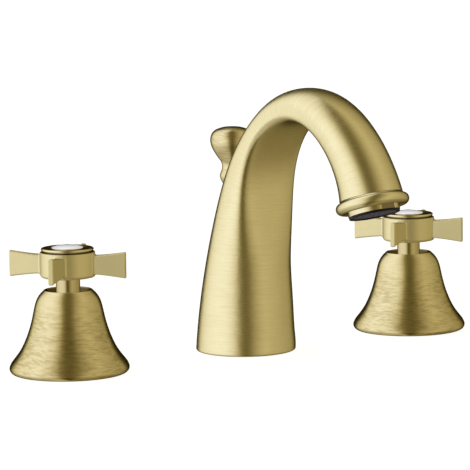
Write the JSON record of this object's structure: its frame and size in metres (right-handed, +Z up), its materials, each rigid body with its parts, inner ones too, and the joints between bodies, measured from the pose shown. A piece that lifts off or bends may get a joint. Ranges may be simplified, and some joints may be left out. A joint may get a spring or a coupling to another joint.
{
  "type": "bathroom mixer faucet",
  "caption": "Widespread deck mixer with arched spout, two cross-handle quarter-turn valves with bell escutcheons, and a lift rod for the waste.",
  "frame": {"origin": "centre of the spout's foot, on the deck's top surface", "axes": "+Z up out of the deck; -Y towards the user, the way the spout points; +X from the hot valve towards the cold valve"},
  "size_m": [0.2556, 0.1448, 0.2475],
  "materials": {
    "brushed_gold": "brushed PVD gold, fine circumferential brush lines",
    "satin_gold": "satin gold, almost no brush lines",
    "raw_brass": "machined, uncoated",
    "plated_steel": "zinc plated",
    "copper": "drawn copper tube",
    "rubber": "matt black rubber",
    "ceramic": "lapped alumina",
    "porcelain": "glazed white porcelain",
    "black_plastic": "dark aerator plastic",
    "stainless": "spring stainless steel"
  },
  "bodies": {
    "fixed": {"spout_body": "brushed_gold", "outlet_collar": "brushed_gold", "aerator_housing": "satin_gold", "aerator_insert": "black_plastic", "aerator_gasket": "rubber", "waterway_tube": "copper", "waterway_seal": "rubber", "spout_plug": "raw_brass", "spout_gasket": "rubber", "rod_guide": "satin_gold", "spout_nipple": "raw_brass", "spout_deck_washer": "rubber", "spout_clamp_plate": "plated_steel", "spout_nut": "raw_brass", "mixing_tee": "raw_brass", "hot_link_tube": "copper", "cold_link_tube": "copper", "compression_nuts": "raw_brass", "olives": "raw_brass", "top_washers": "rubber", "top_locknuts": "raw_brass", "escutcheon_seals": "rubber", "deck_washers": "rubber", "steel_washers": "plated_steel", "deck_nuts": "raw_brass", "hot_escutcheon": "brushed_gold", "hot_valve_body": "raw_brass", "hot_cartridge_housing": "raw_brass", "hot_housing_seal": "rubber", "hot_seat_seal": "rubber", "hot_fixed_disc": "ceramic", "cold_escutcheon": "brushed_gold", "cold_valve_body": "raw_brass", "cold_cartridge_housing": "raw_brass", "cold_housing_seal": "rubber", "cold_seat_seal": "rubber", "cold_fixed_disc": "ceramic"},
    "hot_handle_set": {"hot_moving_disc": "ceramic", "hot_spindle": "raw_brass", "hot_spindle_seals": "rubber", "hot_circlip": "stainless", "hot_neck_sleeve": "satin_gold", "hot_handle": "satin_gold", "hot_handle_screw": "stainless", "hot_index_ring": "satin_gold", "hot_index_button": "porcelain"},
    "cold_handle_set": {"cold_moving_disc": "ceramic", "cold_spindle": "raw_brass", "cold_spindle_seals": "rubber", "cold_circlip": "stainless", "cold_neck_sleeve": "satin_gold", "cold_handle": "satin_gold", "cold_handle_screw": "stainless", "cold_index_ring": "satin_gold", "cold_index_button": "porcelain"},
    "lift_rod_set": {"lift_knob": "brushed_gold", "lift_rod": "satin_gold", "rod_clamp": "raw_brass", "clamp_screws": "raw_brass"}
  },
  "joints": [
    {"name": "hot_handle_turn", "type": "hinge", "parent": "fixed", "child": "hot_handle_set", "pos_m": [-0.1, 0, 0.05], "axis": [0, 0, 1], "range_deg": [0, 90]},
    {"name": "cold_handle_turn", "type": "hinge", "parent": "fixed", "child": "cold_handle_set", "pos_m": [0.1, 0, 0.05], "axis": [0, 0, 1], "range_deg": [-90, 0]},
    {"name": "waste_lift", "type": "slide", "parent": "fixed", "child": "lift_rod_set", "axis": [0, 0, 1], "range_m": [0, 0.02]}
  ]
}
